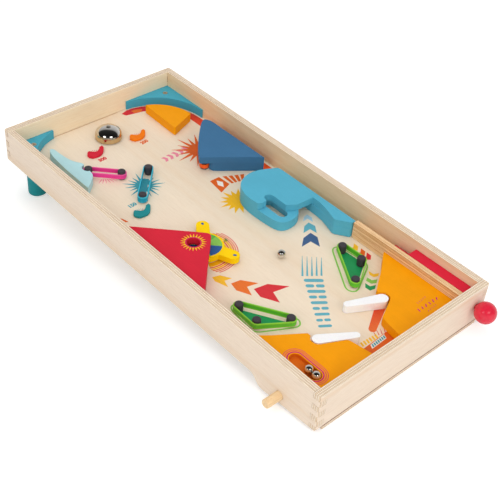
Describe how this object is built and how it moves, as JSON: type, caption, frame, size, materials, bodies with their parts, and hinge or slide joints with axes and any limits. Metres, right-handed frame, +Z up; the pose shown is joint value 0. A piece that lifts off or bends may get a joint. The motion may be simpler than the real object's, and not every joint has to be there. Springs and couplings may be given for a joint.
{
  "type": "wooden pinball game",
  "caption": "Table-top wooden pinball game: tilted plywood case, painted blocks, button-driven flippers, sprung launcher, spinner, bell and steel balls.",
  "frame": {"origin": "on the table, under the middle of the whole game with its left button out", "axes": "+X to the player's right, +Y away from the player, +Z up"},
  "size_m": [0.303, 0.6272, 0.1033],
  "materials": {
    "birch_ply": "clear matt lacquer, striped ply edges",
    "playfield": "clear matt lacquer with printed shapes",
    "beech": "bare sanded wood",
    "pine": "bare wood with strong grain",
    "orange_paint": "satin paint",
    "turquoise_paint": "satin paint",
    "blue_paint": "satin paint",
    "red_paint": "satin paint",
    "teal_paint": "satin paint",
    "pale_blue_paint": "satin paint",
    "yellow_paint": "satin paint",
    "white_plastic": "satin white",
    "dark_rubber": "matt, finely grooved",
    "green_rubber": "matt",
    "pink_rubber": "matt",
    "cyan_rubber": "matt",
    "orange_rubber": "matt",
    "bright_steel": "polished",
    "plain_steel": "plain"
  },
  "bodies": {
    "case": {"left_wall": "birch_ply", "right_wall": "birch_ply", "back_wall": "birch_ply", "front_wall": "birch_ply", "bottom_panel": "birch_ply", "playfield_board": "playfield", "panel_batten": "beech", "lane_divider": "pine", "left_foot": "teal_paint", "right_foot": "teal_paint", "teal_score_pocket": "teal_paint", "left_corner_block": "turquoise_paint", "right_corner_block": "turquoise_paint", "tunnel_loop": "turquoise_paint", "tunnel_tail": "turquoise_paint", "tunnel_roof": "turquoise_paint", "orange_wedge": "orange_paint", "left_apron": "orange_paint", "right_apron": "orange_paint", "orange_score_pocket": "orange_paint", "blue_deflector": "blue_paint", "score_block": "red_paint", "plunger_block": "red_paint", "red_score_pocket": "red_paint", "side_guide": "pale_blue_paint", "left_triangle_back_post": "dark_rubber", "left_triangle_side_post": "dark_rubber", "left_triangle_front_post": "dark_rubber", "right_triangle_back_post": "dark_rubber", "right_triangle_side_post": "dark_rubber", "right_triangle_front_post": "dark_rubber", "pink_band_left_post": "dark_rubber", "pink_band_right_post": "dark_rubber", "cyan_band_back_post": "dark_rubber", "cyan_band_front_post": "dark_rubber", "deflector_front_post": "dark_rubber", "deflector_back_post": "dark_rubber", "left_triangle_band": "green_rubber", "right_triangle_band": "green_rubber", "pink_band": "pink_rubber", "cyan_band": "cyan_rubber", "deflector_band": "orange_rubber", "bell_shell": "bright_steel", "bell_post": "plain_steel", "spinner_pin": "plain_steel", "left_corner_screw": "plain_steel", "right_corner_screw": "plain_steel", "plunger_spring": "plain_steel"},
    "left_flipper": {"left_flipper": "white_plastic", "left_flipper_lever": "beech"},
    "right_flipper": {"right_flipper": "white_plastic", "right_flipper_lever": "beech"},
    "left_button": {"left_button": "beech"},
    "right_button": {"right_button": "beech"},
    "plunger": {"plunger_rod": "red_paint", "plunger_knob": "red_paint"},
    "spinner": {"spinner": "yellow_paint"},
    "ball_in_play": {"ball_in_play": "bright_steel"},
    "tray_ball_front": {"tray_ball_front": "bright_steel"},
    "tray_ball_back": {"tray_ball_back": "bright_steel"}
  },
  "joints": [
    {"name": "left_flipper_turn", "type": "hinge", "parent": "case", "child": "left_flipper", "pos_m": [-0.05453, -0.20923, 0.02742], "axis": [0, -0.0772, 0.997], "range_deg": [0, 55]},
    {"name": "right_flipper_turn", "type": "hinge", "parent": "case", "child": "right_flipper", "pos_m": [0.05251, -0.20923, 0.02742], "axis": [0, -0.0772, 0.997], "range_deg": [0, 55]},
    {"name": "left_button_push", "type": "slide", "parent": "case", "child": "left_button", "axis": [1, 0, 0], "range_m": [0, 0.01893]},
    {"name": "right_button_release", "type": "slide", "parent": "case", "child": "right_button", "axis": [1, 0, 0], "range_m": [0, 0.01893]},
    {"name": "plunger_pull", "type": "slide", "parent": "case", "child": "plunger", "axis": [0, -0.997, -0.0772], "range_m": [0, 0.03], "stiffness_N_per_m": 120, "springref_m": -0.012, "deforming": ["plunger_spring"]},
    {"name": "spinner_turn", "type": "hinge", "parent": "case", "child": "spinner", "pos_m": [-0.05069, -0.01008, 0.04285], "axis": [0, -0.0772, 0.997], "continuous": true},
    {"name": "ball_in_play_lift", "type": "slide", "parent": "case", "child": "ball_in_play", "axis": [0, -0.0772, 0.997], "range_m": [0, 0.05]},
    {"name": "tray_ball_front_lift", "type": "slide", "parent": "case", "child": "tray_ball_front", "axis": [0, -0.0772, 0.997], "range_m": [0, 0.05]},
    {"name": "tray_ball_back_lift", "type": "slide", "parent": "case", "child": "tray_ball_back", "axis": [0, -0.0772, 0.997], "range_m": [0, 0.05]}
  ],
  "couplings": [
    {"joint": "left_flipper_turn", "follows": "left_button_push", "rad_per_m": 50.613},
    {"joint": "right_flipper_turn", "follows": "right_button_release", "rad_per_m": 50.613}
  ]
}
